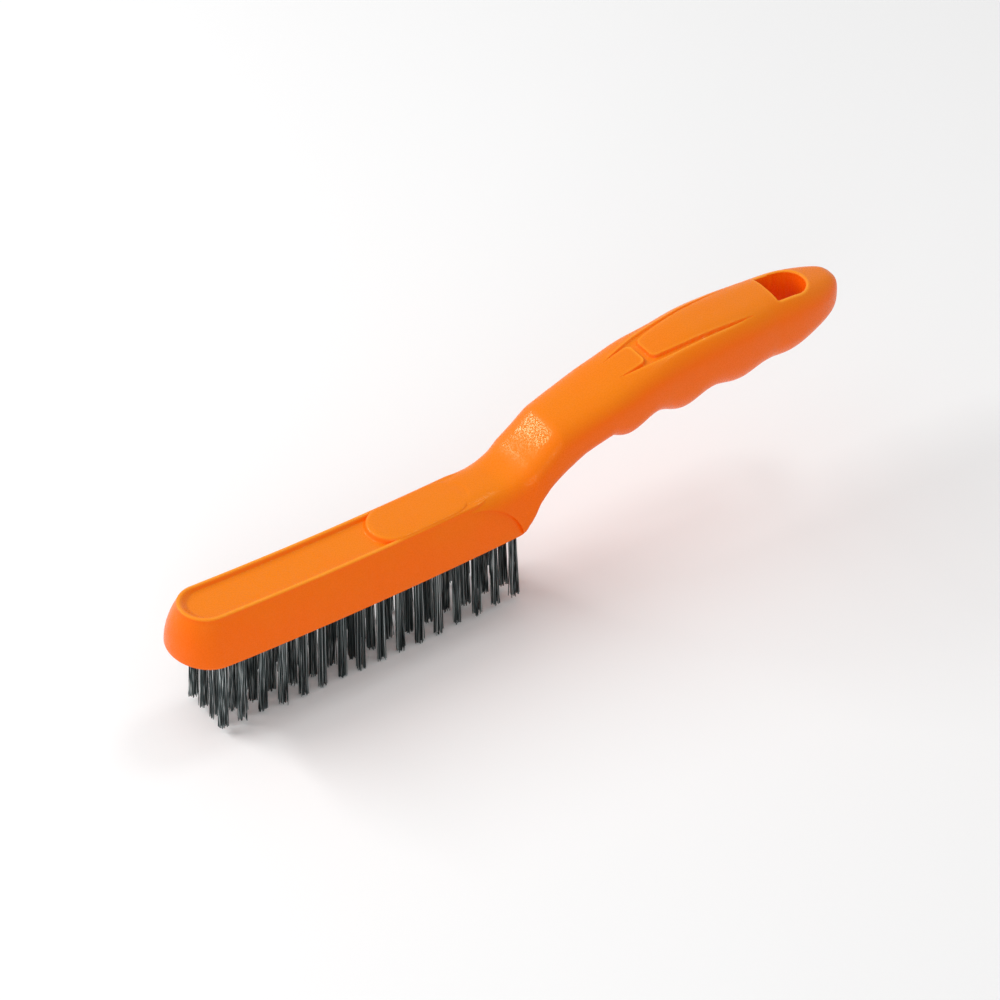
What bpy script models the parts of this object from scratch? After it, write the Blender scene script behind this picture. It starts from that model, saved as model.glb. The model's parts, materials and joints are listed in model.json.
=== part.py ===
"""Hand wire brush: a moulded handle with 64 folded steel tufts set in blind holes.

The handle is one solid moulding: a drafted tuft block with a rounded nose, a neck that
climbs out of the block's heel, and a grip with finger hollows and a hang hole.
Every tuft is a wire bundle folded over a flat anchor that holds it in its hole.

Metres, +Z up.  +X runs from the nose to the tail, and the tufts stand on Z = 0.
"""
import math
import random

import bmesh
import bpy
from mathutils import Matrix, Vector

MM = 0.001

# --- tuft field -------------------------------------------------------------
STATIONS = 16                    # tufts in a row
ROWS = 4
STATION_PITCH = 8.0 * MM
ROW_PITCH = 6.5 * MM
TRIM_LENGTH = 33.2 * MM          # wire that stands out of the block at mid length
FAN_SHEAR = 0.045                # lean of the end tufts away from the middle of the field

HOLE_DIAMETER = 4.4 * MM
HOLE_DEPTH = 11.0 * MM
HOLE_SIDES = 8
WIRE_GAP = 0.3 * MM              # bundle to the wall of its hole
ANCHOR_GAP = 0.1 * MM            # anchor to the wall that it is driven into
SEAT_GAP = 0.3 * MM              # folded end to the bottom of the hole
ANCHOR_HEIGHT = 1.6 * MM
ANCHOR_THICKNESS = 0.7 * MM
FOLD_HEIGHT = 1.2 * MM           # bend of the wires between anchor and hole bottom
TIP_LENGTH_X = 4.0 * MM          # splayed bundle at the trimmed tips
TIP_LENGTH_Y = 3.6 * MM
LEG_PINCH = 0.45                 # waist between the two legs of a bundle at its tips
TUFT_SIDES = 12
TUFT_SWAY = 0.35 * MM            # how far a tip may stray from its place
CLUMPED_STATIONS = (3, 6, 9, 12, 14)
CLUMP_OVERLAP = 0.7 * MM         # how far the two tips of a clump run into each other

# --- tuft block -------------------------------------------------------------
NOSE_MARGIN = 15.1 * MM          # first station to the nose tip
HEEL_MARGIN = 8.0 * MM           # last station to the heel
EDGE_MARGIN = 5.2 * MM           # outer rows to the side of the block
BLOCK_HEIGHT = 18.2 * MM
SIDE_DRAFT = 5.1 * MM            # each side leans in by this much at the top
NOSE_RAKE = 5.2 * MM             # the nose leans back by this much at the top
NOSE_REACH = 13.4 * MM           # length of the nose's rounding at the tuft face
RAKE_POWER = 1.6                 # the nose leans more the higher it gets
HEEL_FULLNESS = 2.3              # exponent of the heel's rounded corners
HEEL_TUCK = 7.0 * MM             # the heel's top edge tucks in under the neck by this much
TUCK_POWER = 4                   # and only near the top
SIDE_SWELL = 0.5 * MM            # outward swell of the side wall at mid height
EDGE_ROUND = 0.9 * MM            # rounding at the block's top edge
CAMBER_RADIUS = 1350.0 * MM      # the block's tuft face bows along its length
BACK_CAMBER_RADIUS = 1300.0 * MM # and so does its back
BACK_DIP = 0.35 * MM             # middle of the back under the level that the grip starts from
TRIM_CAMBER_RADIUS = 900.0 * MM  # the trimmed tips bow more

# --- label pocket and raised pad on the block's back ------------------------
RIM_WIDTH = 1.05 * MM
POCKET_DEPTH = 1.6 * MM
POCKET_WALL = 1.15 * MM          # width of the pocket's sloping wall along the sides
POCKET_NOSE_WALL = 3.3 * MM      # and at the nose, where it slopes less
PAD_START = 66.0 * MM            # from the first station to the pad's front
PAD_LENGTH = 41.0 * MM
PAD_INSET = 0.2 * MM             # pad's foot to the edge of the block's back
PAD_WALL = 1.4 * MM              # width of its front wall
PAD_SIDE_WALL = 0.75 * MM        # and of its side walls
PAD_PROUD = 0.5 * MM             # pad over the rim

# --- neck and grip, measured back from the heel and up from the block's back -
HANDLE_REACH = 141.2 * MM        # heel to the tail's end
PANEL_ARC_RADIUS = 18.0 * MM     # corner of the side panel that the neck wraps round
PANEL_ARC_BACK = 24.5 * MM       # centre of that corner ahead of the heel
PANEL_ARC_DROP = 0.45 * MM       # top of that corner under the block's back
CROWN_LINE = (                   # (back from heel, up from block's back) in millimetres
    (-32.0, 0.0), (-27.0, 0.6), (-20.0, 1.25), (-14.0, 1.6), (-9.0, 2.2), (-4.0, 4.0), (1.0, 7.4),
    (6.0, 11.8), (12.0, 16.4), (19.0, 19.1), (28.0, 21.7), (41.7, 25.6), (56.0, 29.5), (72.0, 32.1),
    (87.0, 33.0), (100.0, 33.1), (110.0, 33.1), (119.0, 32.5), (128.0, 31.1), (141.2, 28.6),
)
NECK_UNDERSIDE = (
    (-8.0, -16.8), (-5.0, -16.2), (-2.0, -12.4), (1.0, -8.8), (6.0, -5.6), (13.0, -2.3),
    (20.0, 0.6), (28.0, 3.3), (35.0, 5.1), (45.0, 8.5),
)
FINGER_LINE = (
    (34.0, 2.3), (41.5, 1.9), (66.0, 1.9), (90.0, 3.9), (115.0, 5.6), (122.0, 7.0),
    (128.0, 9.3), (134.0, 11.6), (141.2, 13.6),
)
HALF_WIDTHS = (
    (-27.0, 12.0), (-20.5, 13.2), (-14.0, 13.6), (-8.0, 14.0), (0.0, 14.6), (9.0, 14.1),
    (22.0, 14.2), (42.0, 15.4), (67.0, 14.9), (90.0, 14.6), (107.0, 13.3),
)
FINGER_FIRST = 41.5 * MM         # first finger ridge
FINGER_PITCH = 24.3 * MM
FINGER_DEPTH = 4.6 * MM          # depth of the first hollow
FINGER_FADE = 0.058              # depth lost per length towards the tail
TAIL_TAPER = 34.2 * MM           # length of the tail's elliptical plan
TAIL_ROUND = 6.4 * MM            # rounding of the tail's end in side view
CROWN_FLATNESS = 2.9             # exponents of the grip's section, 2 is an ellipse
KEEL_FLATNESS = 2.45
CROWN_SQUARENESS = ((-27, 8.0), (-21, 4.4), (-14, 3.7), (-6, 3.9), (2, CROWN_FLATNESS))
KEEL_SQUARENESS = ((-8, 14.0), (-4, 6.0), (6, 3.4), (22, KEEL_FLATNESS))
SIDE_LEAN = ((-14, 0.165), (-3, 0.15), (22, 0.02), (40, 0.0))          # share of the half width
NECK_SECTIONS = (-31, -24, -16, -12, -8, -5, -2, 1, 4, 7, 10, 13, 17, 21, 25, 29, 32, 34, 36, 38, 40, 42)

# --- thumb channel on the grip ----------------------------------------------
CHANNEL_DEPTH = 1.0 * MM
CHANNEL_RUN_OUT = 0.35           # share of the depth left where a groove ends
CROSS_SHALLOWER = 0.98           # the cross channel's depth as a share of the grooves'
CHANNEL_OUTER = ((41.6, 5.1), (46.0, 6.2), (57.0, 8.3), (70.0, 9.4), (82.0, 9.9), (95.4, 9.5))
FRONT_PAD_EDGE = ((41.6, 4.9), (46.0, 5.3), (50.5, 5.4), (52.6, 4.6))
REAR_PAD_EDGE = ((55.8, 3.0), (56.9, 5.2), (61.6, 6.5), (70.0, 7.7), (82.0, 8.7), (95.4, 9.4))

# --- hang hole --------------------------------------------------------------
HANG_WIDTH = 14.6 * MM
HANG_LENGTH = 16.5 * MM
HANG_TO_TAIL = 14.7 * MM         # round end of the hole to the tail's end

SECTION_SIDES = 30
SEAM = 0.01 * MM                 # half the short edge on the middle plane at nose and heel
BEYOND = 6.0 * MM                # how far a cutter runs past the surface that it cuts

# --- places that follow from the sizes above --------------------------------
FIELD_LENGTH = (STATIONS - 1) * STATION_PITCH
OVERALL_LENGTH = NOSE_MARGIN + FIELD_LENGTH + HEEL_MARGIN + HANDLE_REACH
FIRST_STATION = -OVERALL_LENGTH / 2 + NOSE_MARGIN
FIELD_MIDDLE = FIRST_STATION + FIELD_LENGTH / 2
NOSE = FIRST_STATION - NOSE_MARGIN
HEEL = FIRST_STATION + FIELD_LENGTH + HEEL_MARGIN
TAIL = HEEL + HANDLE_REACH
BLOCK_HALF_WIDTH = (ROWS - 1) * ROW_PITCH / 2 + EDGE_MARGIN
BACK_HALF_WIDTH = BLOCK_HALF_WIDTH - SIDE_DRAFT
BLOCK_BACK = TRIM_LENGTH + BLOCK_HEIGHT


def camber(x, share=0.0):
    """Rise of the bowed block above its middle, at a share of the block's height."""
    bow = (1 - share) / CAMBER_RADIUS + share / BACK_CAMBER_RADIUS
    return (x - FIELD_MIDDLE) ** 2 * bow / 2 - BACK_DIP * share


def smooth_line(points, x):
    """Value at x of a smooth curve through points given in millimetres."""
    marks = [(a * MM, b * MM) for a, b in points]
    if x <= marks[0][0]:
        return marks[0][1]
    if x >= marks[-1][0]:
        return marks[-1][1]
    i = max(k for k in range(len(marks) - 1) if marks[k][0] <= x)

    def slope(k):
        before = marks[max(k - 1, 0)]
        after = marks[min(k + 1, len(marks) - 1)]
        return (after[1] - before[1]) / (after[0] - before[0])

    (x0, y0), (x1, y1) = marks[i], marks[i + 1]
    span = x1 - x0
    t = (x - x0) / span
    return ((2 * t ** 3 - 3 * t ** 2 + 1) * y0 + (t ** 3 - 2 * t ** 2 + t) * span * slope(i)
            + (3 * t ** 2 - 2 * t ** 3) * y1 + (t ** 3 - t ** 2) * span * slope(i + 1))


def blend(points, x):
    """Value at x of a broken line through (x, value) points."""
    if x <= points[0][0]:
        return points[0][1]
    for (x0, y0), (x1, y1) in zip(points, points[1:]):
        if x <= x1:
            return y0 + (y1 - y0) * (x - x0) / (x1 - x0)
    return points[-1][1]


# --- scene helpers ----------------------------------------------------------
def clear_scene():
    for item in list(bpy.data.objects):
        bpy.data.objects.remove(item)
    for group in list(bpy.data.collections):
        bpy.data.collections.remove(group)


def new_collection(name):
    group = bpy.data.collections.new(name)
    bpy.context.scene.collection.children.link(group)
    return group


def new_material(name, colour, roughness, metallic):
    material = bpy.data.materials.new(name)
    material.use_nodes = True
    shader = material.node_tree.nodes["Principled BSDF"]
    shader.inputs["Base Color"].default_value = (*colour, 1.0)
    shader.inputs["Roughness"].default_value = roughness
    shader.inputs["Metallic"].default_value = metallic
    return material


def add_object(name, bm, group):
    """Turn a bmesh into an object with outward faces in the given collection."""
    bmesh.ops.recalc_face_normals(bm, faces=bm.faces)
    mesh = bpy.data.meshes.new(name)
    bm.to_mesh(mesh)
    bm.free()
    item = bpy.data.objects.new(name, mesh)
    group.objects.link(item)
    return item


def loft(bm, rings):
    """Closed skin through rings of equally many points, with flat caps."""
    loops = [[bm.verts.new(point) for point in ring] for ring in rings]
    count = len(loops[0])
    for low, high in zip(loops, loops[1:]):
        for i in range(count):
            j = (i + 1) % count
            bm.faces.new((low[i], low[j], high[j], high[i]))
    return loops


def cap_with_strips(bm, loop):
    """Fill a loop that is mirrored about Y = 0 with strips across its width."""
    count = len(loop)
    for i in range(count // 2 - 1):
        a, b, c, d = i, i + 1, count - 2 - i, count - 1 - i
        corners = (loop[a], loop[b], loop[c], loop[d])
        bm.faces.new(corners if c != b else corners[:3])


def boolean(target, other, operation):
    """Add a live boolean and hide its second body."""
    modifier = target.modifiers.new(other.name, "BOOLEAN")
    modifier.object = other
    modifier.operation = operation
    modifier.solver = "EXACT"
    other.hide_render = True
    other.display_type = "WIRE"
    other.hide_set(True)


# --- tuft block and what stands on or in its back ---------------------------
def end_round(reach, half_width, fullness, steps):
    """Quarter of a rounded end, from its tip to its side: (inset from side, offset)."""
    points = []
    for i in range(steps + 1):
        angle = math.pi / 2 * i / steps
        along = reach * (1 - math.cos(angle) ** (2 / fullness)) if i < steps else reach
        across = half_width * math.sin(angle) ** (2 / fullness)
        points.append((along, across))
    return points


def block_outline(front, back, half_width, front_reach, back_reach, straight_steps=10):
    """Plan of the block: rounded nose, straight sides, rounded heel; mirrored order."""
    nose = end_round(front_reach, half_width, 2.0, 10)
    heel = end_round(back_reach, half_width, HEEL_FULLNESS, 7)
    side = [(front + along, -across) for along, across in nose[1:]]
    run_start, run_end = front + front_reach, back - back_reach
    side += [(run_start + (run_end - run_start) * i / straight_steps, -half_width)
             for i in range(1, straight_steps)]
    side += [(back - along, -across) for along, across in reversed(heel[1:])]
    near = [(front, -SEAM)] + side + [(back, -SEAM)]
    far = [(x, -y) for x, y in reversed(near)]
    return near + far


def bowed(points, height):
    """Lift a flat outline to a height above the block's bowed lower face."""
    share = height / BLOCK_HEIGHT
    return [Vector((x, y, TRIM_LENGTH + height + camber(x, share))) for x, y in points]


def block_ring(share, lift, inset=0.0):
    """Outline of the block at a share of its height, with its draft, rake and swell."""
    swell = SIDE_SWELL * 4 * share * (1 - share)
    half_width = BLOCK_HALF_WIDTH - SIDE_DRAFT * share + swell - inset
    rake = NOSE_RAKE * share ** RAKE_POWER - swell + inset
    front_reach = NOSE_REACH + (BACK_HALF_WIDTH - NOSE_REACH) * share
    tuck = HEEL_TUCK * share ** TUCK_POWER
    heel = HEEL - SIDE_DRAFT * share - tuck - inset
    outline = block_outline(NOSE + rake, heel, half_width, front_reach - inset, HEEL_MARGIN + tuck)
    return bowed(outline, lift)


def make_block(group):
    bm = bmesh.new()
    levels = [(share, BLOCK_HEIGHT * share, 0.0) for share in (0.0, 0.25, 0.5, 0.75)]
    top_share = 1 - EDGE_ROUND / BLOCK_HEIGHT
    levels += [(top_share, BLOCK_HEIGHT * top_share, 0.0)]
    for angle in (45, 90):
        turn = math.radians(angle)
        inset = EDGE_ROUND * (1 - math.cos(turn))
        levels.append((top_share, BLOCK_HEIGHT - EDGE_ROUND * (1 - math.sin(turn)), inset))
    loops = loft(bm, [block_ring(*level) for level in levels])
    cap_with_strips(bm, loops[0])
    cap_with_strips(bm, loops[-1])
    return add_object("handle", bm, group)


def flat_stadium(front, back, half_width, height):
    """Outline with two half-round ends at a height above the block's lower face."""
    return bowed(block_outline(front, back, half_width, half_width, half_width), height)


def make_pocket_cutter(group):
    """Label pocket: a shallow stadium with sloping walls that runs in under the pad."""
    bm = bmesh.new()
    floor = BLOCK_HEIGHT - POCKET_DEPTH
    mouth = BACK_HALF_WIDTH - RIM_WIDTH
    front = NOSE + NOSE_RAKE + RIM_WIDTH
    back = FIRST_STATION + PAD_START + PAD_LENGTH / 2
    rings = []
    for height in (floor, BLOCK_HEIGHT + BEYOND / 4):
        share = 1 - (height - floor) / POCKET_DEPTH
        nose_inset, side_inset = POCKET_NOSE_WALL * share, POCKET_WALL * share
        half_width = mouth - side_inset
        rings.append(flat_stadium(front + nose_inset, back - side_inset, half_width, height))
    loops = loft(bm, rings)
    cap_with_strips(bm, loops[0])
    cap_with_strips(bm, loops[-1])
    return add_object("cut_label_pocket", bm, group)


def make_pad(group):
    """Raised pad with half-round ends and sloping sides."""
    bm = bmesh.new()
    front = FIRST_STATION + PAD_START
    half_width = BACK_HALF_WIDTH - PAD_INSET
    foot = BLOCK_HEIGHT - POCKET_DEPTH
    rise = POCKET_DEPTH + PAD_PROUD
    rings = []
    for share, wall_share in ((-1.0, 0.0), (0.0, 0.0), (0.6, 0.4), (0.88, 0.85), (1.0, 1.6)):
        end_inset, side_inset = PAD_WALL * wall_share, PAD_SIDE_WALL * wall_share
        rings.append(flat_stadium(front + end_inset, front + PAD_LENGTH - end_inset,
                                  half_width - side_inset, foot + rise * share))
    loops = loft(bm, rings)
    cap_with_strips(bm, loops[0])
    cap_with_strips(bm, loops[-1])
    return add_object("add_raised_pad", bm, group)


# --- neck and grip ----------------------------------------------------------
def crown(x):
    return BLOCK_BACK + smooth_line(CROWN_LINE, x - HEEL)


def keel(x):
    """Underside: the neck's arch, then ridges and hollows for the fingers."""
    back = x - HEEL
    neck = smooth_line(NECK_UNDERSIDE, back)
    turn = math.pi * (back - FINGER_FIRST) / FINGER_PITCH
    depth = max(FINGER_DEPTH - FINGER_FADE * max(back - FINGER_FIRST - FINGER_PITCH / 2, 0), 0)
    fingers = smooth_line(FINGER_LINE, back) + depth * math.sin(turn) ** 2
    if back > FINGER_FIRST:
        return BLOCK_BACK + fingers
    return BLOCK_BACK + min(neck, fingers)


def grip_half_width(x):
    taper_start = TAIL - TAIL_TAPER
    if x <= taper_start:
        return smooth_line(HALF_WIDTHS, x - HEEL)
    share = min((x - taper_start) / TAIL_TAPER, 1.0)
    return smooth_line(HALF_WIDTHS, taper_start - HEEL) * math.sqrt(1 - share ** 2)


def section_shape(x):
    """Half width, mid height, half height, lean of the sides and two exponents at x."""
    top, low = crown(x), keel(x)
    rounding = max((x - (TAIL - TAIL_ROUND)) / TAIL_ROUND, 0.0)
    closing = (1 - rounding ** 3) ** (1 / 3)
    back = (x - HEEL) / MM
    lean = blend(SIDE_LEAN, back)
    over = blend(CROWN_SQUARENESS, back)
    under = blend(KEEL_SQUARENESS, back)
    return grip_half_width(x), (top + low) / 2, closing * (top - low) / 2, lean, over, under


def section_point(shape, angle):
    """Point (y, z) of a section at an angle: a rounded, slightly tapered oval."""
    width, middle, half_height, lean, over, under = shape
    across, up = math.cos(angle), math.sin(angle)
    power = 2 / (over if up > 0 else under)
    rise = math.copysign(abs(up) ** power, up)
    y = width * math.copysign(abs(across) ** power, across) * (1 - lean * rise)
    return y, middle + half_height * rise


def surface_height(x, y):
    """Height of the grip's upper surface at a plan position."""
    width, middle, half_height, lean, over, under = section_shape(x)
    share = min(abs(y) / width, 0.99)
    return middle + half_height * (1 - share ** over) ** (1 / over)


def neck_stations():
    """Places of the sections: closer where the outline turns faster."""
    back = [mark * MM for mark in NECK_SECTIONS]
    step = FINGER_PITCH / 6
    x = FINGER_FIRST + step
    while x < HANDLE_REACH - TAIL_TAPER * 0.75:
        back.append(x)
        x += step
    start = back[-1] + step
    tail_steps = 9
    for i in range(tail_steps + 1):
        turn = math.pi / 2 * i / tail_steps
        back.append(start + (HANDLE_REACH * 0.9995 - start) * math.sin(turn))
    return [HEEL + distance for distance in back]


def make_neck_and_grip(group):
    bm = bmesh.new()
    rings = []
    for x in neck_stations():
        shape = section_shape(x)
        ring = []
        for i in range(SECTION_SIDES):
            y, z = section_point(shape, 2 * math.pi * (i + 0.5) / SECTION_SIDES)
            ring.append(Vector((x, y, z)))
        rings.append(ring)
    loops = loft(bm, rings)
    for loop in (loops[0], loops[-1]):
        bm.faces.new(loop)
    return add_object("add_neck_and_grip", bm, group)


def make_panel_arc_cutter(group):
    """Drum across the neck's foot that leaves the block's side panel bare."""
    bm = bmesh.new()
    centre_x = HEEL - PANEL_ARC_BACK
    centre_z = BLOCK_BACK + camber(centre_x, 1.0) - PANEL_ARC_DROP - PANEL_ARC_RADIUS
    turn = Matrix.Translation((centre_x, 0, centre_z)) @ Matrix.Rotation(math.pi / 2, 4, "X")
    bmesh.ops.create_cone(bm, cap_ends=True, segments=40, radius1=PANEL_ARC_RADIUS,
                          radius2=PANEL_ARC_RADIUS, depth=4 * BLOCK_HALF_WIDTH, matrix=turn)
    return add_object("cut_panel_arc", bm, group)


# --- thumb channel and hang hole --------------------------------------------
def channel_strip(bm, stations, inner, outer, side):
    """One run of the channel between two plan lines, sunk under the grip's surface."""
    rings = []
    ends = (stations[0], stations[-1])
    for back in stations:
        x = HEEL + back
        y0, y1 = side * inner(back), side * outer(back)
        depth = CHANNEL_DEPTH * (CHANNEL_RUN_OUT if back in ends else 1.0)
        ring = [Vector((x, y, surface_height(x, y) - depth)) for y in (y0, (y0 + y1) / 2, y1)]
        ring += [Vector((x, y1, surface_height(x, y1) + BEYOND)),
                 Vector((x, y0, surface_height(x, y0) + BEYOND))]
        rings.append(ring)
    loops = loft(bm, rings)
    for loop in (loops[0], loops[-1]):
        bm.faces.new(loop)


def make_channel_cutters(group):
    """A groove down each side of the two thumb pads and the cross channel between them."""
    cutters = []
    front, rear = CHANNEL_OUTER[0][0] * MM, CHANNEL_OUTER[-1][0] * MM
    cross_front, cross_rear = FRONT_PAD_EDGE[-1][0] * MM, REAR_PAD_EDGE[0][0] * MM

    def outer(back):
        return smooth_line(CHANNEL_OUTER, back)

    def inner(back):
        if back < cross_rear:
            return smooth_line(FRONT_PAD_EDGE, back)
        return smooth_line(REAR_PAD_EDGE, back)

    run = [front + (cross_front - front) * i / 4 for i in range(5)]
    run += [cross_rear + (rear - cross_rear) * (i / 9) ** 1.3 for i in range(10)]
    for side, word in ((-1, "near"), (1, "far")):
        bm = bmesh.new()
        channel_strip(bm, run, inner, outer, side)
        cutters.append(add_object(f"cut_channel_{word}", bm, group))
    bm = bmesh.new()
    rings = []
    reach = (inner(cross_front) + outer(cross_front)) / 2
    cross_depth = CHANNEL_DEPTH * CROSS_SHALLOWER
    for back in (cross_front, (cross_front + cross_rear) / 2, cross_rear):
        x = HEEL + back
        spans = [reach * share for share in (-1, -0.5, 0, 0.5, 1)]
        ring = [Vector((x, y, surface_height(x, y) - cross_depth)) for y in spans]
        ring += [Vector((x, reach, surface_height(x, 0) + BEYOND)),
                 Vector((x, -reach, surface_height(x, 0) + BEYOND))]
        rings.append(ring)
    loops = loft(bm, rings)
    for loop in (loops[0], loops[-1]):
        bm.faces.new(loop)
    cutters.append(add_object("cut_channel_cross", bm, group))
    return cutters


def make_hang_hole_cutter(group):
    """Slot through the tail: square front end, half-round rear end."""
    radius = HANG_WIDTH / 2
    rear_centre = TAIL - HANG_TO_TAIL - radius
    front = TAIL - HANG_TO_TAIL - HANG_LENGTH
    outline = [(front, radius), (front, -radius)]
    steps = 14
    for i in range(steps + 1):
        angle = -math.pi / 2 + math.pi * i / steps
        outline.append((rear_centre + radius * math.cos(angle), radius * math.sin(angle)))
    bm = bmesh.new()
    low, high = keel(front) - BEYOND, crown(front) + BEYOND
    loops = loft(bm, [[Vector((x, y, z)) for x, y in outline] for z in (low, high)])
    for loop in loops:
        bm.faces.new(loop)
    return add_object("cut_hang_hole", bm, group)


# --- tufts ------------------------------------------------------------------
def station_x(station):
    return FIRST_STATION + station * STATION_PITCH


def row_y(row):
    return (row - (ROWS - 1) / 2) * ROW_PITCH


def fan(station):
    """Sideways run of a tuft per length down its wires, positive towards the tail."""
    return FAN_SHEAR * (station_x(station) - FIELD_MIDDLE) / (FIELD_LENGTH / 2)


def hole_bottom(station):
    return TRIM_LENGTH + camber(station_x(station)) + HOLE_DEPTH


def tip_height(station):
    return (station_x(station) - FIELD_MIDDLE) ** 2 / (2 * TRIM_CAMBER_RADIUS)


def tuft_axis(station, z):
    """Place along X of a tuft's middle at a height, on its fanned line."""
    mouth = TRIM_LENGTH + camber(station_x(station))
    return station_x(station) + fan(station) * (mouth - z)


def make_hole_cutters(group):
    """All blind holes as one cutter."""
    bm = bmesh.new()
    radius = HOLE_DIAMETER / 2
    for station in range(STATIONS):
        low, high = TRIM_LENGTH - BEYOND / 2, hole_bottom(station)
        for row in range(ROWS):
            rings = []
            for z in (low, high):
                rings.append([Vector((tuft_axis(station, z) + radius * math.cos(angle),
                                      row_y(row) + radius * math.sin(angle), z))
                              for angle in (2 * math.pi * (i + 0.5) / HOLE_SIDES
                                            for i in range(HOLE_SIDES))])
            for loop in loft(bm, rings):
                bm.faces.new(loop)
    return add_object("cut_tuft_holes", bm, group)


def bundle_ring(centre, half_x, half_y, pinch, z):
    """Section of a folded bundle: an oval that narrows between its two legs."""
    ring = []
    for i in range(TUFT_SIDES):
        angle = 2 * math.pi * (i + 0.5) / TUFT_SIDES
        waist = 1 - pinch * math.sin(angle) ** 6
        ring.append(Vector((centre[0] + half_x * math.cos(angle),
                            centre[1] + half_y * math.sin(angle) * waist, z)))
    return ring


def tuft_mesh(station, row, tip_shift, tip_pinch):
    """Folded bundle from its bend down to its trimmed tips."""
    top = hole_bottom(station) - SEAT_GAP
    shoulder = top - FOLD_HEIGHT
    mouth = TRIM_LENGTH + camber(station_x(station))
    root = HOLE_DIAMETER / 2 * math.cos(math.pi / HOLE_SIDES) - WIRE_GAP
    levels = [(top, root * 0.55, root, 0.0, 0.0), (shoulder, root, root, 0.0, 0.0),
              (mouth, root, root, 0.1, 0.0),
              (tip_height(station), TIP_LENGTH_X / 2, TIP_LENGTH_Y / 2, tip_pinch, 1.0)]
    bm = bmesh.new()
    rings = []
    for z, half_x, half_y, pinch, share in levels:
        centre = (tuft_axis(station, z) + tip_shift[0] * share, row_y(row) + tip_shift[1] * share)
        rings.append(bundle_ring(centre, half_x, half_y, pinch, z))
    loops = loft(bm, rings)
    for loop in (loops[0], loops[-1]):
        bm.faces.new(loop)
    return bm


def make_anchor(name, station, row, group):
    """Flat anchor across the fold, its ends at the wall of the hole."""
    reach = HOLE_DIAMETER * math.cos(math.pi / HOLE_SIDES) - 2 * ANCHOR_GAP
    top = hole_bottom(station) - SEAT_GAP - FOLD_HEIGHT
    place = Vector((tuft_axis(station, top), row_y(row), top - ANCHOR_HEIGHT / 2))
    size = Matrix.Diagonal((ANCHOR_THICKNESS, reach, ANCHOR_HEIGHT, 1.0))
    bm = bmesh.new()
    bmesh.ops.create_cube(bm, size=1.0, matrix=Matrix.Translation(place) @ size)
    return add_object(name, bm, group)


def make_tuft(name, station, row, tip_shift, parts, helpers, steel, tip_pinch=LEG_PINCH):
    tuft = add_object(name, tuft_mesh(station, row, tip_shift, tip_pinch), parts)
    tuft.data.materials.append(steel)
    boolean(tuft, make_anchor(f"anchor_{name}", station, row, helpers), "UNION")
    return tuft


def make_tufts(parts, helpers, steel):
    """Single tufts, and five clumps where two inner tufts have run into each other."""
    chance = random.Random(7)
    row_names = ("near_outer", "near_inner", "far_inner", "far_outer")
    clump_lean = (ROW_PITCH - TIP_LENGTH_Y + CLUMP_OVERLAP) / 2
    for station in range(STATIONS):
        clumped = station in CLUMPED_STATIONS
        for row in range(ROWS):
            sway = (chance.uniform(-1, 1) * TUFT_SWAY, chance.uniform(-1, 1) * TUFT_SWAY)
            inner = row in (1, 2)
            if clumped and inner:
                shift = (0.0, clump_lean if row == 1 else -clump_lean)
                if row == 1:
                    partner_name = f"partner_{station + 1:02d}"
                    clump = make_tuft(f"tuft_clump_{station + 1:02d}", station, row, shift,
                                      parts, helpers, steel, 0.0)
                else:
                    partner = make_tuft(partner_name, station, row, shift,
                                        helpers, helpers, steel, 0.0)
                    boolean(clump, partner, "UNION")
            else:
                make_tuft(f"tuft_{row_names[row]}_{station + 1:02d}", station, row, sway,
                          parts, helpers, steel)


# --- assembly ---------------------------------------------------------------
def make_handle(parts, helpers, plastic):
    handle = make_block(parts)
    handle.data.materials.append(plastic)
    neck = make_neck_and_grip(helpers)
    boolean(neck, make_panel_arc_cutter(helpers), "DIFFERENCE")
    boolean(handle, make_pocket_cutter(helpers), "DIFFERENCE")
    boolean(handle, neck, "UNION")
    boolean(handle, make_pad(helpers), "UNION")
    for cutter in make_channel_cutters(helpers):
        boolean(handle, cutter, "DIFFERENCE")
    boolean(handle, make_hang_hole_cutter(helpers), "DIFFERENCE")
    boolean(handle, make_hole_cutters(helpers), "DIFFERENCE")
    return handle


def main():
    clear_scene()
    parts = new_collection("wire_brush")
    helpers = new_collection("cutters_and_additions")
    plastic = new_material("orange polypropylene", (0.87, 0.16, 0.012), 0.45, 0.0)
    steel = new_material("dark carbon steel wire", (0.05, 0.055, 0.055), 0.4, 0.9)
    make_handle(parts, helpers, plastic)
    make_tufts(parts, helpers, steel)


main()
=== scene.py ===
# %% [markdown]
# # A shoe-handle wire brush
#
# The brush is one orange polypropylene moulding, set with four rows of sixteen tufts of dark
# carbon-steel wire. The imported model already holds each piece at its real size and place. What
# it lacks is what the eye reads as real: the soft edges of a moulding, the grain of its skin,
# and tufts made of single wires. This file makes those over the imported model, piece by piece.
#
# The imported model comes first, because every place below is read from it.

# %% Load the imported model
import json
import math
import random

import bpy
from mathutils import Matrix, Vector

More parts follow.
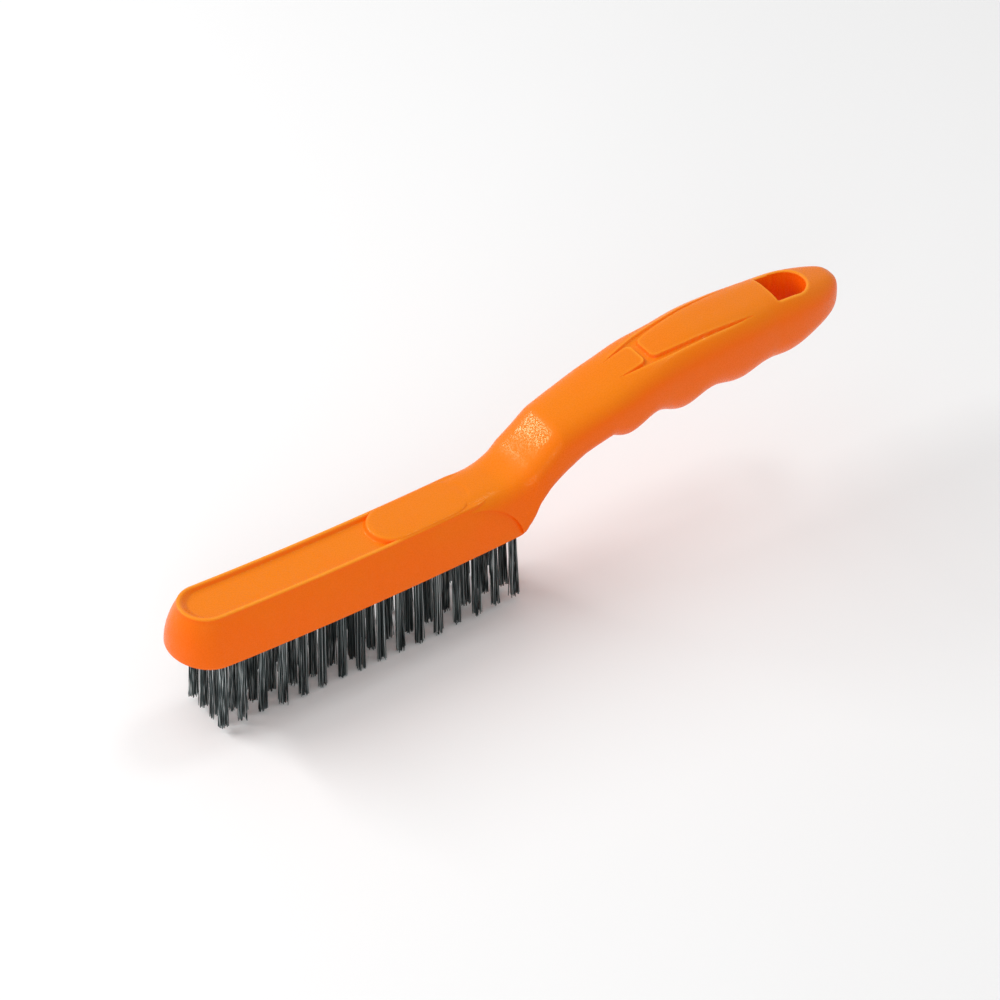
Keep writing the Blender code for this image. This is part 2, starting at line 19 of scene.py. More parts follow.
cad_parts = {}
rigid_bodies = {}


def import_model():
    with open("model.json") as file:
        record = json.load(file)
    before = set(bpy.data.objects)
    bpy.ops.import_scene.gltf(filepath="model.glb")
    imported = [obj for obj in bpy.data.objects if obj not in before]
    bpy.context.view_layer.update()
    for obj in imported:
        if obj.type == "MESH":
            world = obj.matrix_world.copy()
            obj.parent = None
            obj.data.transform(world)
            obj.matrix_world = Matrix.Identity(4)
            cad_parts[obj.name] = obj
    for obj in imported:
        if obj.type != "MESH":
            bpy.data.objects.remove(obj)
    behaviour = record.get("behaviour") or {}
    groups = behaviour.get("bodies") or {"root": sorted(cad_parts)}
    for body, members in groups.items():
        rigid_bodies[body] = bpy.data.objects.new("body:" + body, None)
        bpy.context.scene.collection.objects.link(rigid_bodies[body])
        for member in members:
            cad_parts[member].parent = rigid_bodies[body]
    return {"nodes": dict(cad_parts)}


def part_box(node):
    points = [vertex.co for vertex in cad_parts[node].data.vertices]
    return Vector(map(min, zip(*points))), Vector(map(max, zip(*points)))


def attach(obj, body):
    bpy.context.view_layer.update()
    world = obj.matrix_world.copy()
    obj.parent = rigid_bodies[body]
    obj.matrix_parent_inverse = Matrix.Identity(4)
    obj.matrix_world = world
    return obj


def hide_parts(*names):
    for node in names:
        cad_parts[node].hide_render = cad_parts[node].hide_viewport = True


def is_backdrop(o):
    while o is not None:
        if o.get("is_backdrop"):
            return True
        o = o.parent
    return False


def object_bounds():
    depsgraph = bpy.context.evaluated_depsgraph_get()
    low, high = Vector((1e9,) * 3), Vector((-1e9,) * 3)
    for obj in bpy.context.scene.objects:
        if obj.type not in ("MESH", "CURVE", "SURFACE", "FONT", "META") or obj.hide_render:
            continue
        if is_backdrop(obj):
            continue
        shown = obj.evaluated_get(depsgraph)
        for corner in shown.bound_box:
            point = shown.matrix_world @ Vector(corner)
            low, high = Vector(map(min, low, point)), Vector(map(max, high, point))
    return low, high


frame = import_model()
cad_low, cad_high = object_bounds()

print("whole brush in mm:", [round(1000 * size, 1) for size in cad_high - cad_low])

# %% [markdown]
# ## Places on the brush
#
# A maker measures this brush from two places: its heel, where block and grip meet, and the
# block's back. So the forms below are written in millimetres back from the heel (x), across
# (y) and up from the back (z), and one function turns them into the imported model's metres.
# The heel and the back follow from the handle's own box. The block is bowed lengthwise, its
# tuft face and its back by slightly different radii, and a second function gives that rise.

# %% Heel, back and the bow of the block
# Lengths are in millimetres here and below, and angles in degrees.
MM = 0.001
BLOCK_LENGTH = 143.1
BLOCK_HEIGHT = 18.2
FIELD_MIDDLE = -68.0
FACE_BOW_RADIUS = 1350
BACK_BOW_RADIUS = 1300
BACK_DIP = 0.35
NOSE_LIFT = 0.55
NOSE_LIFT_START = -118.0
NOSE_LIFT_RUN = 25

handle_low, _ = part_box("handle")
heel_x = handle_low.x + BLOCK_LENGTH * MM
back_z = handle_low.z + BLOCK_HEIGHT * MM


def place(x, y, z):
    """A point back from the heel, across, and up from the block's back, in metres."""
    return (heel_x + x * MM, y * MM, back_z + z * MM)


def bow(x, share):
    """Rise of the bowed block at a share of its height, from face (0) to back (1).

    The back dips a little at the middle, and the face lifts a little more under the nose.
    """
    curvature = (1 - share) / FACE_BOW_RADIUS + share / BACK_BOW_RADIUS
    rise = (x - FIELD_MIDDLE) ** 2 / 2 * curvature - BACK_DIP * share
    return rise + NOSE_LIFT * (1 - share) * max((NOSE_LIFT_START - x) / NOSE_LIFT_RUN, 0) ** 2


def soft_step(value):
    """Nought to one with a soft start and end."""
    value = min(max(value, 0), 1)
    return value * value * (3 - 2 * value)


print("heel at", round(heel_x, 4), "back at", round(back_z, 4))

# %% [markdown]
# ## One tool for every smooth form
#
# A moulding like this has no flat cut faces: block, pad, neck and grip are all skins over a
# changing outline. Such a skin could be sculpted, or cut from blocks and bevelled, but the
# bevels of crossing cuts are hard to keep clean. Here a grid is wrapped round the form like
# paper instead: each row of the grid is laid on one outline, the seam is merged, and the open
# ends are closed. Soft edges are then simply more rows.

# %% Selecting and wrapping
MERGE_DISTANCE = 0.002 * MM


def start_clean():
    """Leave nothing selected, since an operator acts on all that is."""
    bpy.ops.object.select_all(action="DESELECT")


def pick(item):
    """Select one object alone and make it the active one."""
    start_clean()
    item.select_set(True)
    bpy.context.view_layer.objects.active = item


def wrapped_grid(name, rings):
    """Wrap a grid round a form, one closed outline to a row, and close its two ends."""
    start_clean()
    bpy.ops.mesh.primitive_grid_add(x_subdivisions=len(rings[0]), y_subdivisions=len(rings) - 1)
    skin = bpy.context.object
    skin.name = name
    skin.data.name = name
    corners = [point for ring in rings for point in (*ring, ring[0])]
    skin.data.vertices.foreach_set("co", [value for corner in corners for value in corner])
    bpy.ops.object.mode_set(mode="EDIT")
    bpy.ops.mesh.select_all(action="SELECT")
    bpy.ops.mesh.remove_doubles(threshold=MERGE_DISTANCE)
    bpy.ops.mesh.select_all(action="DESELECT")
    bpy.ops.mesh.select_non_manifold()
    bpy.ops.mesh.edge_face_add()
    bpy.ops.mesh.select_all(action="SELECT")
    bpy.ops.mesh.normals_make_consistent(inside=False)
    bpy.ops.object.mode_set(mode="OBJECT")
    return skin


def join_or_cut(body, tool, operation):
    """Union a tool with the body or cut it away, and remove the tool."""
    modifier = body.modifiers.new(tool.name, "BOOLEAN")
    modifier.object = tool
    modifier.operation = operation
    modifier.solver = "EXACT"
    pick(body)
    bpy.ops.object.modifier_apply(modifier=modifier.name)
    bpy.data.objects.remove(tool)
    print(body.name, operation.lower(), len(body.data.polygons), "faces")


# %% [markdown]
# ## The tuft block
#
# Seen from above the block is a long bar with a rounded nose and rounded heel corners. Its
# walls lean in, so that it leaves its mould, and the nose leans back more the higher it gets.
# On top a rounded rim runs round a shallow label pocket, which stays bare. One list of rows
# describes all that: a share of the height for the wall, then the rim, the pocket's sloping
# wall and its floor. The first and last rows are drawn together on the middle line, which
# closes face and floor with strips that can follow the bow.

# %% Plan outlines
NOSE_FULLNESS = 2.0
HEEL_FULLNESS = 2.3
NOSE_STEPS = 24
HEEL_STEPS = 14
SIDE_STEPS = 50


def quarter(reach, half, fullness, steps):
    """Quarter of a rounded end, from its tip to its side."""
    points = []
    for step in range(steps + 1):
        angle = math.pi / 2 * step / steps
        points.append((reach * (1 - math.cos(angle) ** (2 / fullness)),
                       half * math.sin(angle) ** (2 / fullness)))
    return points


def plan(front, back, half, nose_reach, heel_reach):
    """Closed outline in plan, the near side first, the far side as its mirror image."""
    nose = quarter(nose_reach, half, NOSE_FULLNESS, NOSE_STEPS)
    heel = quarter(heel_reach, half, HEEL_FULLNESS, HEEL_STEPS)
    start, end = front + nose_reach, back - heel_reach
    near = [(front + along, -across) for along, across in nose]
    near += [(start + (end - start) * step / SIDE_STEPS, -half)
             for step in range(1, SIDE_STEPS)]
    near += [(back - along, -across) for along, across in reversed(heel)]
    return near + [(x, -y) for x, y in reversed(near[1:-1])]


print("points on each outline:", 2 * (NOSE_STEPS + SIDE_STEPS + HEEL_STEPS))

# %% The block's rows
# A squeeze is the share of an outline's width that is kept: 0 draws it together.
NOSE = -BLOCK_LENGTH
FACE_HALF = 15.2
WALL_HEIGHT = 18.85
DRAFT = 5.35
SWELL = 2.0
NOSE_SWELL_POWER = 0.4
RAKE = 5.2
RAKE_POWER = 1.6
NOSE_REACH = 13.4
HEEL_REACH = 8.0
TUCK = 7.0
TUCK_POWER = 4
FACE_SQUEEZES = (0.0, 0.5, 1.0)
FACE_INSET = 0.5
LOWER_EDGE = {"share": 0.01, "inset": 0.12, "depth": 0.992}
WALL_START = 0.03
WALL_STEPS = 12
EDGE_ROUND = 0.85
EDGE_TURNS = (15, 30, 45, 60, 75, 90)


def wall_plan(share, inset):
    """The block's outline at a share of its height, with draft, rake and a slight swell."""
    swell = SWELL * share * (1 - share)
    half = FACE_HALF - DRAFT * share + swell - inset
    front = NOSE + RAKE * share ** RAKE_POWER - swell * share ** NOSE_SWELL_POWER + inset
    nose_reach = NOSE_REACH - (NOSE_REACH - FACE_HALF + DRAFT) * share - inset
    tuck = TUCK * share ** TUCK_POWER
    return plan(front, -DRAFT * share - tuck - inset, half, nose_reach, HEEL_REACH + tuck)


def lifted(outline, z, share=1.0, squeeze=1.0):
    """Lay an outline on the bowed block, its width squeezed towards the middle line."""
    return [place(x, y * squeeze, z + bow(x, share)) for x, y in outline]


def block_rows():
    """Tuft face, lower edge, wall and the quarter round of the upper edge."""
    rows = []
    face = wall_plan(0.0, FACE_INSET)
    for squeeze in FACE_SQUEEZES:
        rows.append(lifted(face, -WALL_HEIGHT, 0.0, squeeze))
    edge = wall_plan(LOWER_EDGE["share"], LOWER_EDGE["inset"])
    rows.append(lifted(edge, -WALL_HEIGHT * LOWER_EDGE["depth"], 0.0))
    top_share = 1 - EDGE_ROUND / WALL_HEIGHT
    for step in range(WALL_STEPS + 1):
        share = WALL_START + (top_share - WALL_START) * step / WALL_STEPS
        rows.append(lifted(wall_plan(share, 0.0), -WALL_HEIGHT * (1 - share), share))
    for angle in EDGE_TURNS:
        turn = math.radians(angle)
        outline = wall_plan(top_share, EDGE_ROUND * (1 - math.cos(turn)))
        rows.append(lifted(outline, -EDGE_ROUND * (1 - math.sin(turn))))
    return rows


print("rows from tuft face to rim:", len(block_rows()))

# %% The pocket's rows and the finished block
POCKET_HALF = 8.95
POCKET_FRONT = NOSE + 5.7
POCKET_BACK = -40.5
POCKET_NOSE_REACH = 9.2
POCKET_DEPTH = 1.6
SIDE_WALL = 1.35
NOSE_WALL = 3.6
POCKET_STEPS = 12
FLOOR_SQUEEZES = (0.66, 0.33, 0.0)


def pocket_rows():
    """The pocket's sloping wall, gentler at the nose, and its floor."""
    rows = []
    for step in range(POCKET_STEPS + 1):
        share = step / POCKET_STEPS
        side, nose = SIDE_WALL * share, NOSE_WALL * share
        outline = plan(POCKET_FRONT + nose, POCKET_BACK - side, POCKET_HALF - side,
                       POCKET_NOSE_REACH - share, POCKET_HALF - side)
        z = -POCKET_DEPTH * soft_step(share)
        rows.append(lifted(outline, z))
    for squeeze in FLOOR_SQUEEZES:
        rows.append(lifted(outline, z, 1.0, squeeze))
    return rows


handle = wrapped_grid("brush_handle", block_rows() + pocket_rows())
print("block:", len(handle.data.polygons), "faces")

# %% [markdown]
# ## The raised pad
#
# Behind the pocket stands a pad with half-round ends, a hair prouder than the rim and nearly
# as wide. Its front end slopes down to the pocket's floor, while its sides drop steeply to the
# rim, so each row has one inset for the ends and another for the sides. The top is crowned a
# little, because a flat top would sink as the plastic cools. It stays bare.

# %% The pad
PAD_FRONT = -62.3
PAD_BACK = -21.0
PAD_HALF = 9.9
PAD_CROWN = 0.1
PAD_SQUEEZES = (0.7, 0.35, 0.0)
# Each row: height over the block's back, inset of the ends, inset of the sides.
PAD_ROWS = ((-2.2, 0.0, 0.0), (-1.56, 0.0, 0.0), (-1.45, 0.2, 0.0), (-1.2, 0.42, 0.0),
            (-0.8, 0.66, 0.05), (-0.4, 0.88, 0.15), (-0.05, 1.08, 0.35), (0.18, 1.28, 0.55),
            (0.33, 1.5, 0.78), (0.42, 1.78, 1.05), (0.48, 2.2, 1.45), (0.5, 2.7, 1.95))


def pad_outline(end_inset, side_inset):
    half = PAD_HALF - side_inset
    return plan(PAD_FRONT + end_inset, PAD_BACK - end_inset, half, half, half)


def pad_rows():
    """A closed foot inside the block, the walls and the slightly crowned top."""
    rows = [lifted(pad_outline(0.0, 0.0), PAD_ROWS[0][0], 1.0, 0.0)]
    for z, end_inset, side_inset in PAD_ROWS:
        outline = pad_outline(end_inset, side_inset)
        rows.append(lifted(outline, z))
    for squeeze in PAD_SQUEEZES:
        top = z + PAD_CROWN * (1 - squeeze ** 2)
        rows.append(lifted(outline, top, 1.0, squeeze))
    return rows


join_or_cut(handle, wrapped_grid("raised_pad", pad_rows()), "UNION")

# %% [markdown]
# ## Neck and grip
#
# The neck climbs out of the block's heel and becomes the grip: an oval with flattened flanks
# whose crown, underside, width and squareness all change along it. The underside has a ridge
# between each two fingers. This is the hardest form on the brush. Cage modelling could reach
# it, but a draughtsman's guide lines hold it better: one for the crown, one for the underside,
# one for the half width, one for the lean of the flanks, and one each for how square the
# section is above and below.

# %% Guide lines of the grip
# Each pair is a place back from the heel and the value there. Crown, underside, finger roots
# and half width are in millimetres. Squareness is an exponent: 2 is an ellipse, and more is
# squarer. Lean is a share of the half width.
CROWN = ((-52, 0.1), (-44, 0.3), (-36, 0.48), (-27, 0.85), (-20, 1.3), (-14, 1.7), (-9, 2.45),
         (-4, 4.5), (1, 8.1), (6, 11.95), (10, 15.4), (12.5, 17.35), (14.6, 18.15), (19, 19.4),
         (28, 21.95), (36, 24.25), (42, 26.0), (47, 27.4), (56, 29.4), (72, 32.2), (87, 33.05),
         (100, 33.0), (110, 33.0), (119, 32.5), (128, 30.95), (141.2, 28.6))
UNDERSIDE = ((-8, -17.4), (-4.6, -16.9), (-1.2, -13.1), (1, -9.1), (6, -5.9), (13, -2.6),
             (20, 0.3), (28, 2.9), (35, 4.8), (45, 8.5))
FINGER_ROOTS = ((34, 1.8), (41.5, 1.4), (66, 1.65), (92, 3.6), (104, 4.45), (115, 5.5),
                (122, 7.1), (128, 9.3), (134, 11.6), (141.2, 13.6))
HALF_WIDTH = ((-52, 9.0), (-44, 9.3), (-39, 10.2), (-33, 11.5), (-27, 12.6), (-20.5, 13.4),
              (-14, 13.6), (-8, 14.0), (0, 14.6), (9, 14.1), (22, 14.2), (42, 15.0),
              (67, 14.7), (90, 14.8), (107, 13.4))
TOP_SQUARENESS = ((-36, 6.0), (-27, 4.6), (-21, 4.1), (-14, 3.7), (-6, 4.0), (2, 3.0),
                  (34, 3.0), (38, 3.2), (95, 3.2), (112, 2.9))
KEEL_SQUARENESS = ((-8, 14.0), (-4, 6.0), (6, 3.4), (22, 2.45))
SIDE_LEAN = ((-14, 0.165), (-3, 0.147), (22, 0.02), (40, 0.0))
print("highest crown over the block's back in mm:", max(z for x, z in CROWN))

# %% Sections along the grip
FIRST_RIDGE = 41.5
RIDGE_PITCH = 25.2
HOLLOW = 4.6
HOLLOW_FADE = 0.058
TAIL_REACH = 141.12
TAIL_TAPER = 34.2
TAPER_FULLNESS = 2.2
TAIL_ROUND = 6.4
ROUND_FULLNESS = 3


def through(points, x, smooth=True):
    """Value at x of a line through points, bent smoothly at each or left straight."""
    if x <= points[0][0]:
        return points[0][1]
    if x >= points[-1][0]:
        return points[-1][1]
    i = max(k for k in range(len(points) - 1) if points[k][0] <= x)
    (x0, y0), (x1, y1) = points[i], points[i + 1]
    t = (x - x0) / (x1 - x0)
    if not smooth:
        return y0 + (y1 - y0) * t

    def slope(k):
        a, b = points[max(k - 1, 0)], points[min(k + 1, len(points) - 1)]
        return (b[1] - a[1]) / (b[0] - a[0])

    return ((2 * t ** 3 - 3 * t ** 2 + 1) * y0 + (t ** 3 - 2 * t ** 2 + t) * (x1 - x0) * slope(i)
            + (3 * t ** 2 - 2 * t ** 3) * y1 + (t ** 3 - t ** 2) * (x1 - x0) * slope(i + 1))


def underside(x):
    """The neck's arch, then hollows that get shallower towards the tail."""
    flow_marks_and_top_light = max(x - FIRST_RIDGE - RIDGE_PITCH / 2, 0)
    depth = max(HOLLOW - HOLLOW_FADE * flow_marks_and_top_light, 0)
    wave = math.sin(math.pi * (x - FIRST_RIDGE) / RIDGE_PITCH) ** 2
    fingers = through(FINGER_ROOTS, x) + depth * wave
    if x > FIRST_RIDGE:
        return fingers
    return min(through(UNDERSIDE, x), fingers)


def section(x):
    """Half width, middle, half height, lean and the two squarenesses of the grip at x."""
    top, low = through(CROWN, x), underside(x)
    taper = min(max((x - TAIL_REACH + TAIL_TAPER) / TAIL_TAPER, 0), 1)
    half = through(HALF_WIDTH, x) * (1 - taper ** TAPER_FULLNESS) ** (1 / TAPER_FULLNESS)
    rounding = max((x - TAIL_REACH + TAIL_ROUND) / TAIL_ROUND, 0)
    closing = (1 - rounding ** ROUND_FULLNESS) ** (1 / ROUND_FULLNESS)
    return (half, (top + low) / 2, closing * (top - low) / 2,
            through(SIDE_LEAN, x, False), through(TOP_SQUARENESS, x, False),
            through(KEEL_SQUARENESS, x, False))


print("section at the first ridge:", [round(value, 2) for value in section(FIRST_RIDGE)])

# %% [markdown]
# ## Thumb channel and hang hole rim
#
# On the grip's crown a shallow channel runs round two thumb rests. It is deepest beside the
# rests and runs out to nothing at its tips. The hang hole's rim is rolled over, so that it
# doesn't bite the thumb. Both are only about a millimetre deep, so they are pressed into the
# grip's skin as it is laid, by a depth for each place in plan, and keep their soft edges.

# %% Depth of the thumb channel
CHANNEL_OUTER = ((39.0, 4.6), (46, 6.2), (57, 8.2), (70, 9.3), (84, 9.9), (102, 9.3))
FRONT_REST = ((39.0, 4.6), (46, 5.2), (52.7, 5.3))
REAR_REST = ((55.8, 5.2), (61.6, 6.2), (70, 7.3), (84, 8.3), (102, 9.3))
FRONT_REST_END = 52.7
REAR_REST_START = 55.8
REST_CORNER = 2.0
CHANNEL_DEPTH = 1.25
CHANNEL_WALL = 0.6
CHANNEL_SHALLOWING = 0.3
SHALLOWING_RUN = 2.5


def past_rest(beyond, side, half):
    """Distance outside a thumb rest with a round-cornered end, negative on the rest."""
    over_end, over_side = beyond + REST_CORNER, side - half + REST_CORNER
    return (math.hypot(max(over_end, 0), max(over_side, 0))
            + min(max(over_end, over_side), 0) - REST_CORNER)


def channel_depth(x, y):
    """How deep the channel is at a place in plan, from the distance to its three edges."""
    if not CHANNEL_OUTER[0][0] < x < CHANNEL_OUTER[-1][0]:
        return 0.0
    side = abs(y)
    from_outer = through(CHANNEL_OUTER, x) - side
    from_front = past_rest(x - FRONT_REST_END, side, through(FRONT_REST, x))
    from_rear = past_rest(REAR_REST_START - x, side, through(REAR_REST, x))
    inside = min(from_outer, from_front, from_rear)
    shallowing = CHANNEL_SHALLOWING * soft_step(1 - from_outer / SHALLOWING_RUN)
    return CHANNEL_DEPTH * (1 - shallowing) * soft_step(inside / CHANNEL_WALL)


deepest = max(channel_depth(x, y / 4) for x in range(39, 103) for y in range(40))
print("channel's depth in mm:", round(deepest, 2))

# %% Drop to the pad and the rolled rim of the hang hole
RING_HALF = 7.8
RING_TOP = 0.55
RING_WALL = 0.5
HANG_HALF = 7.3
HANG_FRONT = 110.0
HANG_CENTRE = 119.2
RIM_RADIUS = 0.9
FRONT_RIM_RADIUS = 0.4


def ring_drop(x, y, z):
    """How far the neck's skin steps down to the pad's top, inside the pad's rear end."""
    away = math.hypot(max(x - PAD_BACK + RING_HALF, 0), y) - RING_HALF
    return max(z - bow(x, 1.0) - RING_TOP, 0) * soft_step(-away / RING_WALL)


def rim_drop(x, y):
    """How far the hang hole's rolled rim lies under the crown at a place in plan."""
    side = abs(y) - HANG_HALF
    if x >= HANG_CENTRE:
        away = math.hypot(x - HANG_CENTRE, y) - HANG_HALF
    elif x >= HANG_FRONT:
        away = side
    else:
        away = math.hypot(HANG_FRONT - x, max(side, 0))
    radius = RIM_RADIUS if x >= HANG_FRONT else FRONT_RIM_RADIUS
    into = min(max(1 - away / radius, 0), 1)
    return radius * (1 - math.sqrt(1 - into ** 2))


print("rim's drop at the hole's edge in mm:", rim_drop(HANG_CENTRE, HANG_HALF))

# %% Lay the grip's skin
CROWN_POINTS = 112
CROWN_EDGE = 0.95
FLANK_POINTS = 72
PRESSED_SHARE = 0.2
# Each run: start, end and spacing of the stations, finest at the pad's end and the channel.
STATION_RUNS = ((-52, -26, 1.2), (-26, -19, 0.3), (-19, 38.6, 0.8), (38.6, 102.4, 0.3),
                (102.4, 108.8, 0.8), (108.8, 129, 0.4))
TAIL_START = 129
TAIL_RUN = 12.11
TAIL_STEPS = 26


def section_angles(over):
    """Even steps across the crown, then even turns round the flanks and underside."""
    first = math.acos(CROWN_EDGE ** (over / 2))
    angles = []
    for step in range(CROWN_POINTS):
        across = CROWN_EDGE * (1 - 2 * step / CROWN_POINTS)
        angles.append(math.acos(math.copysign(abs(across) ** (over / 2), across)))
    sweep = math.pi + 2 * first
    angles += [math.pi - first + sweep * step / FLANK_POINTS for step in range(FLANK_POINTS)]
    return angles


def grip_ring(x):
    """Closed outline of the grip at x, its upper part pressed in by channel, rim and pad."""
    half, middle, rise, lean, over, under = section(x)
    ring = []
    for angle in section_angles(over):
        across, up = math.cos(angle), math.sin(angle)
        power = 2 / (over if up > 0 else under)
        share = math.copysign(abs(up) ** power, up)
        y = half * math.copysign(abs(across) ** power, across) * (1 - lean * share)
        z = middle + rise * share
        if share > PRESSED_SHARE:
            z -= channel_depth(x, y) + rim_drop(x, y) + ring_drop(x, y, z)
        ring.append(place(x, y, z))
    return ring


def spaced(start, end, step):
    count = round((end - start) / step)
    return [start + (end - start) * i / count for i in range(count)]


grip_stations = [x for run in STATION_RUNS for x in spaced(*run)]
grip_stations += [TAIL_START + TAIL_RUN * math.sin(math.pi / 2 * step / TAIL_STEPS)
                  for step in range(TAIL_STEPS + 1)]
grip = wrapped_grid("neck_and_grip", [grip_ring(x) for x in grip_stations])
print("grip:", len(grip.data.polygons), "faces")

# %% [markdown]
# ## Joining the forms
#
# The neck wraps round the block's heel a little proud of its side, and leaves the side panel
# bare up to a large round corner, towards which the panel's upper edge sinks a little. So the
# panel's outline, extended across the brush, is cut from the neck before the two are joined.
# Then the hang hole is cut, and last the 64 blind holes for the tufts. Each tuft's place and
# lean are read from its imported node: the middle of its folded top and the middle of its
# trimmed tips.

# %% Panel corner
PANEL_FRONT = -60
PANEL_BACK = -24.5
PANEL_LOW = -30
PANEL_ROUND = 18.0
PANEL_DROP = 0.45
PANEL_SINK = 1.6
SINK_START = -40
SINK_RUN = 22
SINK_GAIN = 1.15
PANEL_STEPS = 36
CORNER_STEPS = 40
TOOL_HALF = 25


def panel_outline():
    """The side panel seen from the side: along the bowed top edge, then round the corner."""
    centre_z = bow(PANEL_BACK, 1.0) - PANEL_DROP - PANEL_ROUND
    points = []
    for step in range(PANEL_STEPS):
        x = PANEL_FRONT + (PANEL_BACK - PANEL_FRONT) * step / PANEL_STEPS
        sink = PANEL_SINK * soft_step((x - SINK_START) / SINK_RUN) * SINK_GAIN
        points.append((x, bow(x, 1.0) - PANEL_DROP - min(sink, PANEL_SINK)))
    for step in range(CORNER_STEPS + 1):
        turn = math.pi / 2 * (1 - step / CORNER_STEPS)
        points.append((PANEL_BACK + PANEL_ROUND * math.cos(turn),
                       centre_z + (PANEL_ROUND - PANEL_SINK) * math.sin(turn)))
    points.append((PANEL_BACK + PANEL_ROUND, PANEL_LOW))
    points.append((PANEL_FRONT, PANEL_LOW))
    return points


panel_tool = wrapped_grid("panel_tool", [[place(x, y, z) for x, z in panel_outline()]
                                         for y in (-TOOL_HALF, TOOL_HALF)])
join_or_cut(grip, panel_tool, "DIFFERENCE")
join_or_cut(handle, grip, "UNION")

# %% Hang hole
HANG_STEPS = 36
HANG_LOW = -5
HANG_HIGH = 45

hang_outline = [(HANG_FRONT, HANG_HALF), (HANG_FRONT, -HANG_HALF)]
for step in range(HANG_STEPS + 1):
    turn = math.pi * (step / HANG_STEPS - 0.5)
    hang_outline.append((HANG_CENTRE + HANG_HALF * math.cos(turn), HANG_HALF * math.sin(turn)))
hang_tool = wrapped_grid("hang_tool", [[place(x, y, z) for x, y in hang_outline]
                                       for z in (HANG_LOW, HANG_HIGH)])
join_or_cut(handle, hang_tool, "DIFFERENCE")

# %% Where each tuft stands
END_DEPTH = 0.2 * MM


def middle(points):
    return sum(points, Vector()) / len(points)


def tuft_lines():
    """(node, top, tip) of each of the 64 bundles; a clumped node holds two of them."""
    lines = []
    for name in sorted(node for node in frame["nodes"] if node.startswith("tuft")):
        corners = [corner.co.copy() for corner in frame["nodes"][name].data.vertices]
        sides = (-1, 1) if "clump" in name else (0,)
        for side in sides:
            own = [corner for corner in corners if side == 0 or corner.y * side > 0]
            low = min(corner.z for corner in own)
            high = max(corner.z for corner in own)
            top = middle([corner for corner in own if corner.z > high - END_DEPTH])
            tip = middle([corner for corner in own if corner.z < low + END_DEPTH])
            lines.append((name, top, tip))
    return lines


tufts = tuft_lines()
print(len(tufts), "bundles")

# %% The 64 blind holes
HOLE_RADIUS = 2.2
HOLE_SIDES = 20
HOLE_ROOM = 0.4
MOUTH_ROOM = 2.0
SMOOTH_ANGLE = 32


def hole_tool():
    """One slim cylinder along each bundle's line, all joined into a single tool."""
    mouth_z = handle_low.z - MOUTH_ROOM * MM
    for _, top, tip in tufts:
        upper = top + (top - tip).normalized() * HOLE_ROOM * MM
        lower = upper + (tip - upper) * (upper.z - mouth_z) / (upper.z - tip.z)
        lean = (upper - lower).to_track_quat("Z", "Y").to_euler()
        bpy.ops.mesh.primitive_cylinder_add(vertices=HOLE_SIDES, radius=HOLE_RADIUS * MM,
                                            depth=(upper - lower).length,
                                            location=(upper + lower) / 2, rotation=lean)
        bpy.context.object.name = "hole"
    start_clean()
    holes = [item for item in bpy.data.objects if item.name.startswith("hole")]
    for item in holes:
        item.select_set(True)
    bpy.context.view_layer.objects.active = holes[0]
    bpy.ops.object.join()
    bpy.ops.object.transform_apply(location=True, rotation=True, scale=True)
    return holes[0]


join_or_cut(handle, hole_tool(), "DIFFERENCE")
pick(handle)
bpy.ops.object.shade_smooth_by_angle(angle=math.radians(SMOOTH_ANGLE))

# %% [markdown]
# ## Colour and nodes
#
# Colours are written as the hex values that a paint chart gives, and one function turns them
# into the linear values that a shader needs. One more adds a node with its settings and links.

# %% Colour and node helpers
def paint(code):
    """Hex colour as linear red, green, blue and full alpha."""
    channels = [int(code[i:i + 2], 16) / 255 for i in (0, 2, 4)]
    linear = [c / 12.92 if c <= 0.04045 else ((c + 0.055) / 1.055) ** 2.4 for c in channels]
    return (*linear, 1.0)


def add_node(tree, kind, settings=None, links=None):
    """Add a node; settings fill its sockets or properties, links join sockets to outputs.

    A socket goes by its name, or by its number where two share a name.
    """
    node = tree.nodes.new(kind)
    for key, value in (settings or {}).items():
        if isinstance(key, int) or key in node.inputs:
            node.inputs[key].default_value = value
        else:
            setattr(node, key, value)
    for key, output in (links or {}).items():
        tree.links.new(output, node.inputs[key])
    return node


def new_finish(name):
    """A material with only its output, and its node tree."""
    finish = bpy.data.materials.new(name)
    finish.use_nodes = True
    finish.node_tree.nodes.clear()
    return finish, finish.node_tree


print("mid grey in linear light:", round(paint("808080")[0], 3))

# %% [markdown]
# ## Moulded polypropylene
#
# The handle is polypropylene, coloured through and moulded against a spark-eroded steel face.
# The steel's fine pits leave small glossy flats with matt hollows between them, so a lamp's
# reflection breaks up into sparkling grains instead of one spot. One noise drives both the
# relief and the gloss. The grain is about a third of a millimetre on the real brush, and it
# is drawn at half a millimetre so that it shows. Faces that look up are painted a little
# yellower, as painted light from above, and slow flow marks break the colour up. Upper edges
# are painted lighter as a painted glint, except round the neck: the occlusion node, turned
# inwards, finds such edges. Polypropylene has an IOR of 1.49. The orange pigment tints even
# the grazing gloss, so the gloss carries a warm tint. An image texture could hold all this,
# but it would need unwrapping, and noise in the object's own space needs none.

# %% Colour of the polypropylene, orange on the flanks, painted yellower on top as painted top light
FLOW_MM = 18.0

